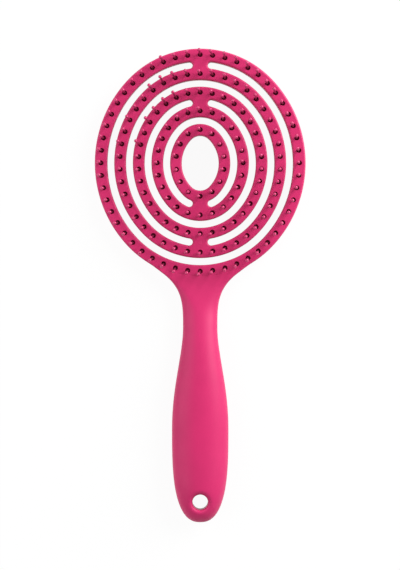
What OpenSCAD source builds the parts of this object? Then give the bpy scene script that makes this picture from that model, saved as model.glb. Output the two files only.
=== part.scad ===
// Detangling brush: a vented oval head of five concentric sprung rings on a hollow moulded handle.
// Millimetres. The brush lies on its back: +Z points up along the pins, +Y from the handle to the head.
// The origin is in the resting plane, under the middle of the whole brush.
// Rings are numbered from the outside: ring 1 is the rim, which is moulded in one with the handle.
// Each half of that moulding is drawn as three pieces: the ring, the neck, which meets the rim's outer
// wall, and the grip, which meets the neck at its narrowest place.

/* [Head] */
// Width of the oval hole in the middle of the head
hole_w = 18.5; // [16:0.5:24]
// Length of that hole, along the brush
hole_l = 27.5; // [25:0.5:34]
// Radius of the two ends of that hole
hole_end_r = 6.25; // [5:0.25:7.5]
// Width of rings 2 to 5
ring_w = 5.8; // [5.4:0.1:7]
// Width of ring 1, the rim
rim_w = 6.2; // [5.6:0.1:8]
// Width of the slot between two rings
slot_w = 3.5; // [2.5:0.1:4.5]
// Width of the web that joins two rings, between the round ends of the slot
web_w = 7.5; // [6:0.1:10]
// Radius that rounds the edges of the rings
edge_r = 0.9; // [0.4:0.1:1.1]
// Thickness of the pierced face that the pins come through
face_t = 1.7; // [1.4:0.1:2.2]
// Thickness of the back cover's floor
floor_t = 1.6; // [1.2:0.1:2.2]
// Height of the back cover in the head, up to the parting line
back_h = 3.5; // [3.2:0.1:4]
// Width of the channel inside each ring
channel_w = 3.4; // [3.2:0.1:3.8]

/* [Pins] */
// Distance between two pins along a ring
pin_pitch = 6.2; // [6.16:0.01:6.26]
// Height of the pins above the face
pin_h = 11; // [8:0.5:14]
// Diameter of a pin's shaft at its root
pin_root_d = 1.2; // [0.9:0.05:1.4]
// Diameter of a pin's shaft below its ball tip
pin_neck_d = 0.9; // [0.7:0.05:1.1]
// Diameter of the ball tip
pin_tip_d = 1.7; // [1.3:0.1:2]
// Diameter of the hole that a pin comes through
pin_hole_d = 2.4; // [2.2:0.05:2.6]
// Diameter of the flat foot that holds a pin under the face
pin_foot_d = 2.9; // [2.8:0.05:3]
// Thickness of that foot
pin_foot_t = 0.9; // [0.7:0.05:1.1]
// Room above the foot, in which the pin can rock
pin_play = 0.2; // [0.1:0.05:0.4]
// Thickness of the soft strip that the feet stand on
bed_t = 2.6; // [2.2:0.1:3.2]
// Room beside the strip
bed_gap = 0.1; // [0.05:0.05:0.2]
// How far the tips lean to the left
lean_left = 0.8; // [0:0.1:1.2]
// How far the tips fan out at the ends of the head
lean_fan = 1.45; // [0:0.05:1.6]
// How far single tips stray from that lean
lean_stray = 0.75; // [0:0.05:0.9]
// How far some tips at the upper left lean further
lean_extra = 1.1; // [0:0.1:1.2]

/* [Handle] */
// Length of the handle, from the lower edge of the head to the end
handle_l = 122.2; // [100:1:150]
// Width of the handle where it leaves the head
flare_w = 32.5; // [28:0.5:38]
// Width of the neck at its narrowest
neck_w = 17.2; // [14:0.2:22]
// Thickness of the neck
neck_t = 12.5; // [10:0.5:15]
// Distance of the narrowest place from the head
neck_at = 26; // [22:1:34]
// Width of the grip at its widest
grip_w = 28.2; // [24:0.2:34]
// Thickness of the grip at its thickest
grip_t = 16; // [13:0.5:20]
// Distance of the widest place from the head
grip_at = 75.5; // [65:1:85]
// Height of the parting line in the grip
grip_back_h = 6.5; // [5:0.5:8]
// Thickness of the handle's walls
wall_t = 2; // [1.4:0.1:2.4]
// Diameter of the hanging hole
hang_d = 7.75; // [5:0.25:9]
// Distance of that hole's centre from the end of the handle
hang_at = 10.45; // [9:0.25:14]
// Radius that rounds the rims of the hanging hole
hang_rim_r = 1.6; // [0.8:0.1:2]
// Diameter of the locating pegs inside the handle
peg_d = 2.4; // [1.6:0.1:3]
// Height of those pegs
peg_h = 3; // [2:0.25:3.5]
// Room around a peg in its socket
peg_gap = 0.1; // [0.05:0.05:0.2]

/* [Hidden] */

rings = 5;
plastic = [0.84, 0.17, 0.43];
pin_plastic = [0.80, 0.20, 0.45];
bed_rubber = [0.45, 0.06, 0.22];

// Overrun of a cut past the face that it opens
over = 0.5;

// Heights in the head, from the resting plane up
bed_top = floor_t + bed_t;
foot_top = bed_top + pin_foot_t;
ceiling_z = foot_top + pin_play;
head_t = ceiling_z + face_t;

// The hole is an oval of four arcs. Every ring edge is a parallel curve of it, about the same four centres.
hole_e = (hole_l - hole_w) / 2;
arc_y = hole_l / 2 - hole_end_r;
arc_x = hole_e + hole_e * hole_e / (2 * (arc_y - hole_e));
side_r = hole_w / 2 + arc_x;
joint_a = atan2(arc_y, arc_x);

// Distance of ring n's edges and middle from the edge of the hole
ring_pitch = ring_w + slot_w;
function ring_in(n) = (rings - n) * ring_pitch;
function ring_out(n) = ring_in(n) + (n == 1 ? rim_w : ring_w);
function ring_mid(n) = (ring_in(n) + ring_out(n)) / 2;

// Places along the brush
head_half_l = hole_l / 2 + ring_out(1);
brush_l = 2 * head_half_l + handle_l;
head_y = brush_l / 2 - head_half_l;
edge_y = head_y - head_half_l;
neck_y = edge_y - neck_at;
grip_y = edge_y - grip_at;
end_y = edge_y - handle_l;
hang_y = end_y + hang_at;

// Ring 1 is joined to ring 2 at the top of the head, ring 2 to ring 3 at the bottom, and so on by turns
function web_side(n) = n % 2 == 0 ? 1 : -1;

// Lengths of the two arcs in a quarter of the oval at distance d from the hole, and of the whole oval
function end_len(d) = (hole_end_r + d) * (90 - joint_a) * PI / 180;
function side_len(d) = (side_r + d) * joint_a * PI / 180;
function oval_len(d) = 4 * (end_len(d) + side_len(d));

// Frame of ring n at share s of the way round its middle, clockwise from the top:
// the arc's centre, the arc's radius at the hole and the outward direction
function ring_frame(n, s) =
    let (d = ring_mid(n),
        turn = 4 * s,
        part = floor(turn),
        t = oval_len(d) / 4 * (part % 2 == 0 ? turn - part : 1 - turn + part),
        on_end = t <= end_len(d),
        a = on_end ? t / (hole_end_r + d) * 180 / PI
            : 90 - joint_a + (t - end_len(d)) / (side_r + d) * 180 / PI,
        right = part < 2 ? 1 : -1,
        top = part == 0 || part == 3 ? 1 : -1)
    [on_end ? 0 : -right * arc_x, head_y + (on_end ? top * arc_y : 0),
        on_end ? hole_end_r : side_r, right * sin(a), top * cos(a)];

// Point of that frame at distance d from the hole
function frame_point(f, d) = [f[0] + (f[2] + d) * f[3], f[1] + (f[2] + d) * f[4]];

// The same even number of pins on the left and right halves of a ring
function pin_count(n) = 2 * round(oval_len(ring_mid(n)) / (2 * pin_pitch));
function pin_place(n, i) = frame_point(ring_frame(n, i / pin_count(n)), ring_mid(n));

// Stations round a ring, more of them on the larger rings
function ring_steps(n) = 8 * (10 - n);

// Area inside the oval at distance d from the hole, with ring n's stations
module oval_area(n, d) {
    polygon([for (i = [0:ring_steps(n) - 1]) frame_point(ring_frame(n, i / ring_steps(n)), d)]);
}

// Carries a closed outline, drawn as distance from the hole against height, round ring n
module ring_sweep(n, outline) {
    m = len(outline);
    count = ring_steps(n);
    points = [for (i = [0:count - 1]) let (f = ring_frame(n, i / count))
        for (p = outline) let (q = frame_point(f, p[0])) [q[0], q[1], p[1]]];
    faces = [for (i = [0:count - 1], j = [0:m - 1])
        let (k = (i + 1) % count, l = (j + 1) % m) each
            [[i * m + j, k * m + j, i * m + l], [i * m + l, k * m + j, k * m + l]]];
    polyhedron(points, faces);
}

// Arc that rounds an edge, about the centre x, z and from angle a to angle b
edge_steps = 2;
function edge_arc(x, z, a, b) =
    [for (i = [0:edge_steps]) let (c = a + (b - a) * i / edge_steps)
        [x + edge_r * cos(c), z + edge_r * sin(c)]];

// Section of the upper half of ring n, from the parting line to the face, with its channel
function face_outline(n) =
    let (c1 = ring_mid(n) - channel_w / 2, c2 = ring_mid(n) + channel_w / 2)
    concat([[ring_in(n), back_h], [c1, back_h], [c1, ceiling_z], [c2, ceiling_z], [c2, back_h],
            [ring_out(n), back_h]],
        edge_arc(ring_out(n) - edge_r, head_t - edge_r, 0, 90),
        edge_arc(ring_in(n) + edge_r, head_t - edge_r, 90, 180));

// Section of the lower half of ring n, from the parting line to the back, with its channel
function floor_outline(n) =
    let (c1 = ring_mid(n) - channel_w / 2, c2 = ring_mid(n) + channel_w / 2)
    concat([[ring_out(n), back_h], [c2, back_h], [c2, floor_t], [c1, floor_t], [c1, back_h],
            [ring_in(n), back_h]],
        edge_arc(ring_in(n) + edge_r, edge_r, 180, 270),
        edge_arc(ring_out(n) - edge_r, edge_r, 270, 360));

// Calls its children at each pin of ring n
module at_pins(n) {
    for (i = [0:pin_count(n) - 1]) translate(pin_place(n, i)) children();
}

module pin_holes(n) {
    at_pins(n) translate([0, 0, ceiling_z - over])
        cylinder(d = pin_hole_d, h = face_t + 2 * over, $fn = 32);
}

// Handle outline: half its width at y, measured along the middle of the brush
flare_power = 3.68;
swell_power = 0.82;
end_power = 3.1;
end_root = 2.45;
function half_width(y) =
    y >= neck_y ? (neck_w + (flare_w - neck_w) * pow((y - neck_y) / neck_at, flare_power)) / 2
    : y >= grip_y ? (neck_w + (grip_w - neck_w)
        * pow(sin(90 * pow((neck_y - y) / (neck_y - grip_y), swell_power)), 2)) / 2
    : grip_w / 2 * pow(1 - pow((grip_y - y) / (grip_y - end_y), end_power), 1 / end_root);

// Smooth step from 0 at a to 1 at b
function step(y, a, b) = let (t = max(0, min(1, (y - a) / (b - a)))) t * t * (3 - 2 * t);

// Cubic from height ha at place a to height hb at place b, with those slopes towards b at its two ends
function cubic(y, a, b, ha, hb, slope_a, slope_b) =
    let (t = max(0, min(1, (y - a) / (b - a))), l = abs(b - a))
    ha + (hb - ha) * t * t * (3 - 2 * t)
        + l * (slope_a * t * pow(1 - t, 2) - slope_b * t * t * (1 - t));

// Share of its thickness that the handle keeps at y, as it rounds off to its end
end_round_share = 0.19;
end_round_power = 2.4;
function end_keep(y) =
    let (e = max(0, min(1, 1 - (y - end_y) / (end_round_share * handle_l))))
    sqrt(1 - pow(e, end_round_power));

// The handle's surface starts inside the rim's outer wall, along a curve parallel to the rim, a little
// below the rim's faces. The rim then cuts it off.
start_sink = 0.15;
// Width of the strip between the head's lower edge and the first station, measured along the brush
start_in = 6.3;
start_y = edge_y + start_in;
start_r = hole_end_r + ring_out(1) - (rim_w - channel_w) / 4;
start_w = sqrt(pow(start_r, 2) - pow(head_y - arc_y - start_y, 2));

// Side view: parting line, top and underside of the handle at y, and the power of its section, which
// is nearly square at the head and rounder from the neck on
level_share = 0.25;
start_power = 5;
grip_power = 2.4;
level_y = start_y - (neck_at + start_in) * level_share;
function parting_z(y) = back_h + (grip_back_h - back_h) * step(y, level_y, neck_y - neck_at / 2);
// The top rises from the head to the grip in one sweep, which still climbs at the neck, at this many
// times the mean slope between neck and grip
neck_climb = 2.4;
neck_slope = neck_climb * (grip_t - neck_t) / (neck_y - grip_y);
function crown_z(y) = y >= neck_y ? cubic(y, start_y, neck_y, head_t - start_sink, neck_t, 0, neck_slope)
    : cubic(y, neck_y, grip_y, neck_t, grip_t, neck_slope, 0);
function top_z(y) = parting_z(y) + end_keep(y) * (crown_z(y) - parting_z(y));
function under_z(y) = parting_z(y) - end_keep(y) * (parting_z(y)
    - start_sink * step(y, edge_y - neck_at / 6, start_y));
function section_power(y) = start_power + (grip_power - start_power) * step(y, start_y, neck_y);

// Stations along the handle. The first ones curve with the rim and straighten towards the neck.
flare_steps = 12;
neck_steps = 18;
end_steps = 11;
last_share = 0.999;
function station_bend(y) = step(y, neck_y + neck_at / 3, start_y);
function station_sag(y, x, w) =
    station_bend(y) * (sqrt(pow(start_r, 2) - x * x) - sqrt(pow(start_r, 2) - w * w));
neck_stations = [for (i = [0:flare_steps]) start_y - (neck_at + start_in) * i / flare_steps];
grip_stations = concat(
    [for (i = [0:neck_steps]) neck_y - (grip_at - neck_at) * i / neck_steps],
    [for (i = [1:end_steps]) grip_y + (end_y - grip_y) * last_share * sin(90 * i / end_steps)]);

// Half section at y: a superellipse from the left edge over the middle to the right edge.
// side is 1 for the upper half and -1 for the lower one; inset moves it inwards.
function half_section(y, side, inset, steps) =
    let (w = (y == start_y ? start_w : half_width(y)) - inset,
        z0 = parting_z(y),
        h = (side > 0 ? top_z(y) - z0 : z0 - under_z(y)) - inset,
        e = 2 / section_power(y))
    [for (j = [0:steps]) let (a = 180 * (1 - j / steps),
            x = w * sign(cos(a)) * pow(abs(cos(a)), e))
        [j == 0 ? -w : j == steps ? w : x,
            j == 0 || j == steps ? y : y - station_sag(y, x, w),
            j == 0 || j == steps ? z0 : z0 + side * h * pow(sin(a), e)]];

// Skin of a half from the left edge over the middle to the right edge, as triangles between stations
shell_steps = 18;
function skin_points(side, ys) = [for (y = ys) each half_section(y, side, 0, shell_steps)];
function skin_at(i, j) = i * (shell_steps + 1) + j;
function skin_faces(count) = [for (i = [0:count - 2], j = [0:shell_steps - 1]) each
    [[skin_at(i, j), skin_at(i, j + 1), skin_at(i + 1, j)],
        [skin_at(i, j + 1), skin_at(i + 1, j + 1), skin_at(i + 1, j)]]];
function turned(faces) = [for (t = faces) [for (k = [len(t) - 1:-1:0]) t[k]]];

// Solid half of the neck, above or below the parting line, whose parting face has points under the skin's
module neck_half(side) {
    m = shell_steps;
    points = skin_points(side, neck_stations);
    face_points = [for (i = [0:flare_steps], j = [0:m])
        let (p = points[skin_at(i, j)]) [p[0], p[1], parting_z(neck_stations[i])]];
    function under(i, j) = skin_at(i, j) + (j == 0 || j == m ? 0 : len(points));
    function lid(i) = [for (j = [0:m - 1]) each
        [if (j > 0) [skin_at(i, j), under(i, j), under(i, j + 1)],
            if (j == 0) [skin_at(i, 0), under(i, 1), skin_at(i, 1)],
            if (j > 0 && j < m - 1) [skin_at(i, j), under(i, j + 1), skin_at(i, j + 1)]]];
    parting = [for (i = [0:flare_steps - 1], j = [0:m - 1]) each
        [[under(i, j), under(i + 1, j), under(i, j + 1)],
            [under(i, j + 1), under(i + 1, j), under(i + 1, j + 1)]]];
    faces = concat(skin_faces(flare_steps + 1), lid(0), turned(lid(flare_steps)), parting);
    polyhedron(concat(points, face_points), side > 0 ? faces : turned(faces));
}

// Solid half of the grip, whose parting face is straight from edge to edge
module grip_half(side) {
    m = shell_steps;
    last = len(grip_stations) - 1;
    parting = [for (i = [0:last - 1]) each
        [[skin_at(i + 1, m), skin_at(i, m), skin_at(i, 0)],
            [skin_at(i + 1, 0), skin_at(i + 1, m), skin_at(i, 0)]]];
    lids = [[for (j = [m:-1:0]) skin_at(0, j)], [for (j = [0:m]) skin_at(last, j)]];
    faces = concat(skin_faces(last + 1), parting, lids);
    polyhedron(skin_points(side, grip_stations), side > 0 ? faces : turned(faces));
}

// Hollow in one half of the handle, with straight sides through the parting line: its distance from
// the head and from the handle's end, and how many walls the walls grow by towards both
cavity_start = 8;
cavity_end = 25;
cavity_growth = 1.5;
cavity_power = 8;
cavity_steps = 22;
module handle_cavity(side) {
    m = 8;
    a = edge_y - cavity_start;
    b = end_y + cavity_end;
    grid = [for (i = [0:cavity_steps]) let (y = a + (b - a) * i / cavity_steps,
            pinch = wall_t
                * (1 + cavity_growth * pow(1 - sin(180 * i / cavity_steps), cavity_power)),
            half = half_section(y, side, pinch, m),
            past = [for (p = [half[0], half[m]]) [p[0], p[1], p[2] - side * over]])
        each side > 0 ? concat(half, [past[1], past[0]])
            : concat([for (j = [m:-1:0]) half[j]], past)];
    r = m + 3;
    faces = concat(
        [for (i = [0:cavity_steps - 1], j = [0:r - 1]) let (k = (j + 1) % r) each
            [[i * r + j, i * r + k, (i + 1) * r + j], [i * r + k, (i + 1) * r + k, (i + 1) * r + j]]],
        [[for (j = [r - 1:-1:0]) j]], [[for (j = [0:r - 1]) cavity_steps * r + j]]);
    polyhedron(grid, faces);
}

// Through hole for hanging, with rounded rims at the front and the back
module hang_hole() {
    translate([0, hang_y]) {
        translate([0, 0, -over]) cylinder(d = hang_d, h = grip_t + 2 * over, $fn = 64);
        translate([0, 0, top_z(hang_y)]) hang_rim();
        translate([0, 0, under_z(hang_y)]) mirror([0, 0, 1]) hang_rim();
    }
}

rim_steps = 6;
module hang_rim() {
    mouth = hang_d / 2 + hang_rim_r;
    rotate_extrude($fn = 64) polygon(concat(
        [[0, -hang_rim_r], [0, grip_t / 2], [mouth, grip_t / 2]],
        [for (i = [0:rim_steps]) let (a = 90 + 90 * i / rim_steps)
            [mouth + hang_rim_r * cos(a), -hang_rim_r + hang_rim_r * sin(a)]]));
}

// Places of the locating pegs, as shares of the way from the neck to the hanging hole, and the wall
// of the posts that carry them or take them in
peg_shares = [0.07, 0.41, 0.75];
peg_wall = 1.2;
peg_ys = [for (s = peg_shares) neck_y + (hang_y - neck_y) * s];

// Posts in the upper half, each with a peg below the parting line
module peg_posts() {
    for (y = peg_ys) translate([0, y, parting_z(y)]) {
        cylinder(d = peg_d + 2 * peg_wall, h = top_z(y) - parting_z(y) - wall_t / 2, $fn = 32);
        translate([0, 0, -peg_h]) cylinder(d = peg_d, h = peg_h + wall_t, $fn = 32);
    }
}

// Posts in the lower half, and the sockets in them
module socket_posts() {
    for (y = peg_ys) translate([0, y, wall_t / 2])
        cylinder(d = peg_d + 2 * peg_wall, h = parting_z(y) - wall_t / 2, $fn = 32);
}

module sockets() {
    for (y = peg_ys) translate([0, y, parting_z(y) - peg_h - peg_gap])
        cylinder(d = peg_d + 2 * peg_gap, h = peg_h + peg_gap + over, $fn = 32);
}

module front_neck() {
    color(plastic) difference() {
        neck_half(1);
        ring_sweep(1, face_outline(1));
        handle_cavity(1);
    }
}

module back_neck() {
    color(plastic) difference() {
        neck_half(-1);
        ring_sweep(1, floor_outline(1));
        handle_cavity(-1);
    }
}

module front_grip() {
    color(plastic) {
        difference() {
            grip_half(1);
            handle_cavity(1);
            hang_hole();
        }
        peg_posts();
    }
}

module back_grip() {
    color(plastic) difference() {
        union() {
            difference() {
                grip_half(-1);
                handle_cavity(-1);
                hang_hole();
            }
            socket_posts();
        }
        sockets();
    }
}

module front_ring(n) {
    color(plastic) difference() {
        ring_sweep(n, face_outline(n));
        pin_holes(n);
    }
}

module back_ring(n) {
    color(plastic) ring_sweep(n, floor_outline(n));
}

// Web across the slot between rings n - 1 and n, hollowed at both sides by the round ends of the slot,
// and the share of those ends that its tips run along
tip_share = 0.66;
module web(n, z1, z2) {
    slot_r = slot_w / 2;
    tip_x = web_w / 2 + slot_r * tip_share;
    slot_x = web_w / 2 + slot_r;
    mid_r = hole_end_r + ring_out(n) + slot_r;
    side = web_side(n);
    color(plastic) translate([0, 0, z1]) linear_extrude(z2 - z1) difference() {
        intersection() {
            oval_area(n - 1, ring_in(n - 1));
            translate([-tip_x, side > 0 ? head_y : edge_y]) square([2 * tip_x, head_half_l]);
        }
        oval_area(n, ring_out(n));
        for (x = [-slot_x, slot_x])
            translate([x, head_y + side * (arc_y + sqrt(mid_r * mid_r - x * x))])
                circle(r = slot_r, $fn = 48);
    }
}

// Sideways lean of the tip of pin i on ring n: the shared lean, a fan towards the ends of the head,
// a stray of its own, and for seven in ten pins at the upper left of rings 2 and 3 a stronger lean
extra_shares = [0.74, 0.8, 0.94, 1];
extra_from = -0.4;
lean_seed = 7;
function tip_lean(n, i, count) =
    let (y = pin_place(n, i)[1] - head_y,
        s = i / count,
        r = rands(-1, 1, 4 * count, lean_seed * n),
        left = n == 2 || n == 3
            ? step(s, extra_shares[0], extra_shares[1]) * step(s, extra_shares[3], extra_shares[2]) : 0,
        more = r[4 * i] > extra_from ? left * lean_extra : 0)
    [lean_stray * (r[4 * i + 1] + r[4 * i + 2]) / 2 - lean_left - more,
        lean_stray * (r[4 * i + 3] - r[4 * i]) / 2 + lean_fan * y / head_half_l + more];

// Pins of ring n: a flat foot, a tapered shaft that leans from its root, and a ball tip
module pins(n) {
    count = pin_count(n);
    rise = head_t + pin_h - pin_tip_d / 2 - bed_top;
    color(pin_plastic) for (i = [0:count - 1]) {
        lean = tip_lean(n, i, count);
        side = norm(lean);
        shaft_l = norm([side, rise]) - pin_foot_t / 2;
        translate([0, 0, bed_top]) translate(pin_place(n, i)) {
            cylinder(d = pin_foot_d, h = pin_foot_t, $fn = 32);
            rotate(atan2(lean[1], lean[0])) rotate([0, atan2(side, rise), 0])
                translate([0, 0, pin_foot_t / 2]) {
                    cylinder(d1 = pin_root_d, d2 = pin_neck_d, h = shaft_l, $fn = 24);
                    translate([0, 0, shaft_l]) sphere(d = pin_tip_d, $fn = 24);
                }
        }
    }
}

module pin_bed(n) {
    half_w = channel_w / 2 - bed_gap;
    color(bed_rubber) translate([0, 0, floor_t]) linear_extrude(bed_t) difference() {
        oval_area(n, ring_mid(n) + half_w);
        oval_area(n, ring_mid(n) - half_w);
    }
}

front_grip();
back_grip();
front_neck();
back_neck();
front_ring(1);  // front_ring_1
front_ring(2);  // front_ring_2
front_ring(3);  // front_ring_3
front_ring(4);  // front_ring_4
front_ring(5);  // front_ring_5
back_ring(1);  // back_ring_1
back_ring(2);  // back_ring_2
back_ring(3);  // back_ring_3
back_ring(4);  // back_ring_4
back_ring(5);  // back_ring_5
web(2, back_h, head_t);  // front_web_2
web(3, back_h, head_t);  // front_web_3
web(4, back_h, head_t);  // front_web_4
web(5, back_h, head_t);  // front_web_5
web(2, 0, back_h);  // back_web_2
web(3, 0, back_h);  // back_web_3
web(4, 0, back_h);  // back_web_4
web(5, 0, back_h);  // back_web_5
pins(1);  // pins_1
pins(2);  // pins_2
pins(3);  // pins_3
pins(4);  // pins_4
pins(5);  // pins_5
pin_bed(1);  // pin_bed_1
pin_bed(2);  // pin_bed_2
pin_bed(3);  // pin_bed_3
pin_bed(4);  // pin_bed_4
pin_bed(5);  // pin_bed_5
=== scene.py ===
"""Looks of the detangling brush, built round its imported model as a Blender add-on."""

import math
from functools import partial

import bmesh
import bpy
import numpy as np
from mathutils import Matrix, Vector


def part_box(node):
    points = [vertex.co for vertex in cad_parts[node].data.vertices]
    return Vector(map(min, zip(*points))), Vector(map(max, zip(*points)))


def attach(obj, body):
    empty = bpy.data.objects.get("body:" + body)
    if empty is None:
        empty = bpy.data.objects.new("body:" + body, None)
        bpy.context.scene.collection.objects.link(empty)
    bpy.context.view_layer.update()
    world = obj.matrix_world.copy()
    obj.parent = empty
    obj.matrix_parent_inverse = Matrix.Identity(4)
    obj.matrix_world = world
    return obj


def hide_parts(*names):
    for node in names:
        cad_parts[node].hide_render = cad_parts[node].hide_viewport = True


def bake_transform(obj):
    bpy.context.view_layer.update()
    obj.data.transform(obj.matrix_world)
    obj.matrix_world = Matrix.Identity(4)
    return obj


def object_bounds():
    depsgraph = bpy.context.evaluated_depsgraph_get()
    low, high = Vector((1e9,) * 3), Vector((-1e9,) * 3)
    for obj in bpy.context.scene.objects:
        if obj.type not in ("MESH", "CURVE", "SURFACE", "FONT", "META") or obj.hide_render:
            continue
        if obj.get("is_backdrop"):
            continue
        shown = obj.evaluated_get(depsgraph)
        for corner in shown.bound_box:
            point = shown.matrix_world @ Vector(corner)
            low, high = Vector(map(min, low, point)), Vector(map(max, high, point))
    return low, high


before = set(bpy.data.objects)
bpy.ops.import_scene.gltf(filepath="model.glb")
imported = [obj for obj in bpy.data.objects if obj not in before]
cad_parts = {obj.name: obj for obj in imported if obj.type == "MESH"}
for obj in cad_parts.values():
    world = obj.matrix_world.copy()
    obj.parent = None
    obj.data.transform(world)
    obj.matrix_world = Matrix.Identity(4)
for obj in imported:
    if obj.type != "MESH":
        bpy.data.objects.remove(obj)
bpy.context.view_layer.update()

bl_info = {
    "name": "Detangling Brush",
    "version": (1, 0, 0),
    "blender": (4, 5, 0),
    "location": "3D View > Sidebar > Brush",
    "description": "Builds the ring head, webs, handle and pins of a detangling brush",
    "category": "Object",
}

MM = 0.001
RINGS = (1, 2, 3, 4, 5)

# Wall over a ring's channel, and heights of the head's face, parting line and channel's ceiling
FACE_WALL = 1.7 * MM
FACE_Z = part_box("front_ring_2")[1].z
PARTING_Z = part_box("back_ring_2")[1].z
CEILING_Z = FACE_Z - FACE_WALL

# How near points are welded, and how thin a face is dropped
WELD_REACH = 0.0004 * MM
SLIVER = 0.0002 * MM

# Angle in degrees from which an edge is shaded sharp, in the head and in the handle
SHARP_ANGLE = 40.0
HANDLE_SHARP_ANGLE = 35.0


def number(name, description, value, low=0.0, high=1000.0, scale=1.0, **kind):
    """A number property, given in units of scale."""
    return bpy.props.FloatProperty(name=name, description=description, default=value * scale,
                                   min=low * scale, max=high * scale, precision=5, **kind)


length = partial(number, scale=MM, unit="LENGTH")
share = partial(number, high=1.0, subtype="FACTOR")


def colour(name, description, value):
    """A colour property, in linear light."""
    return bpy.props.FloatVectorProperty(name=name, description=description, default=value,
                                         min=0.0, max=1.0, size=3, subtype="COLOR")


class BrushHeadSizes(bpy.types.PropertyGroup):
    hole_width: length("Hole width", "Width of the oval hole in the middle of the head", 18.5)
    hole_length: length("Hole length", "Length of that hole, along the brush", 27.5)
    hole_end_radius: length("Hole end radius", "Radius of the two ends of the hole", 6.25)
    ring_width: length("Ring width", "Width of rings 2 to 5", 5.8)
    rim_width: length("Rim width", "Width of ring 1, the rim", 6.2)
    slot_width: length("Slot width", "Width of the slot between two rings", 3.5)
    web_width: length("Web width", "Width of the web between two rings", 7.5)
    edge_radius: length("Edge radius", "Radius that rounds the edges of the rings", 0.9)
    channel_width: length("Channel width", "Width of the channel inside each ring", 3.4)
    floor_thickness: length("Floor thickness", "Thickness of the back under the channel", 1.6)
    pin_pitch: length("Pin pitch", "Distance between two pins along a ring", 6.2)
    pin_hole: length("Pin hole", "Diameter of the hole that a pin comes through", 2.4)
    hole_lip: length("Hole lip", "Radius that rounds the mouth of a pin's hole", 0.2)
    seam: length("Seam", "Chamfer along the parting line of the two mouldings", 0.12)
    gate_width: length("Gate mark width", "Width of the round mark on the lower web", 1.7)


class BrushHandleSizes(bpy.types.PropertyGroup):
    handle_length: length("Handle length", "From the lower edge of the head to the end", 122.2)
    flare_width: length("Flare width", "Width of the handle where it leaves the head", 32.5)
    neck_width: length("Neck width", "Width of the neck at its narrowest", 17.2)
    neck_thickness: length("Neck thickness", "Thickness of the neck", 12.5)
    neck_distance: length("Neck distance", "Distance of the neck from the head", 26.0)
    grip_width: length("Grip width", "Width of the grip at its widest", 28.2)
    grip_thickness: length("Grip thickness", "Thickness of the grip at its thickest", 16.0)
    grip_distance: length("Grip distance", "Distance of the widest place from the head", 75.5)
    parting_height: length("Parting height", "Height of the parting line in the grip", 6.5)
    hanging_hole: length("Hanging hole", "Diameter of the hanging hole", 7.75)
    hanging_distance: length("Hanging distance", "From the hole's centre to the end", 10.45)
    hanging_rim: length("Hanging rim", "Radius that rounds the hole's front rim", 2.5)
    hanging_back_rim: length("Hanging back rim", "Radius that rounds its back rim", 1.6)


class BrushFinish(bpy.types.PropertyGroup):
    plastic: colour("Plastic", "Colour of the soft-touch plastic", (0.602, 0.022, 0.134))
    plastic_worn: colour("Worn plastic", "Colour of its rubbed edges", (0.640, 0.045, 0.165))
    shaft: colour("Pin shaft", "Colour of the pins' shafts", (0.270, 0.030, 0.085))
    ball: colour("Pin ball", "Colour of the pins' ball tips", (0.580, 0.026, 0.132))
    # Painted shade: this dark colour stands for the shade deep in the pins' holes, not for the nylon's own
    # colour
    foot: colour("Pin foot", "Colour of the pins' feet, deep in their holes", (0.160, 0.002, 0.026))
    strip: colour("Strip", "Colour of the soft strips under the pins", (0.170, 0.006, 0.040))
    roughness: share("Roughness", "Roughness of the soft-touch plastic", 0.46)
    sheen: share("Sheen", "Strength of its velvety sheen", 0.04)
    grain_size: length("Grain size", "Size of the plastic's fine grain", 0.22)
    grain_depth: length("Grain depth", "Depth of that grain", 0.012)


class BrushStage(bpy.types.PropertyGroup):
    camera_distance: length("Camera distance", "From the head's face to the camera", 1200.0, 200.0, 5000.0)
    view_height: length("View height", "Height of the picture at the head's face", 284.5)
    view_centre: length("View centre", "Place along the brush in the picture's middle", 0.175, -1000.0)
    key: number("Key light", "Strength of the large lamp at the upper right, in watts", 20.5)
    fill: number("Fill light", "Strength of the lamp at the left, in watts", 5.8)
    sky: number("Sky", "Strength of the plain light from all round", 0.31)
    floor_glow: share("Floor glow", "How white the floor looks in its shadows", 0.94)
    floor_reach: length("Floor reach", "How far the floor runs out round the head", 3000.0, 500.0, 10000.0)
    well_depth: length("Well depth", "Depth of the floor's well, in which the rings can flex", 18.0)


# Surfaces


def grid_quads(rows, columns, wrap_rows=False, wrap_columns=False):
    """Corner numbers of the quads of a grid of points that is stored row by row."""
    i = np.arange(rows if wrap_rows else rows - 1)
    j = np.arange(columns if wrap_columns else columns - 1)
    i, j = np.meshgrid(i, j, indexing="ij")
    k, m = (i + 1) % rows, (j + 1) % columns
    corners = [i * columns + j, k * columns + j, k * columns + m, i * columns + m]
    return np.stack(corners, axis=-1).reshape(-1, 4)


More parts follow.
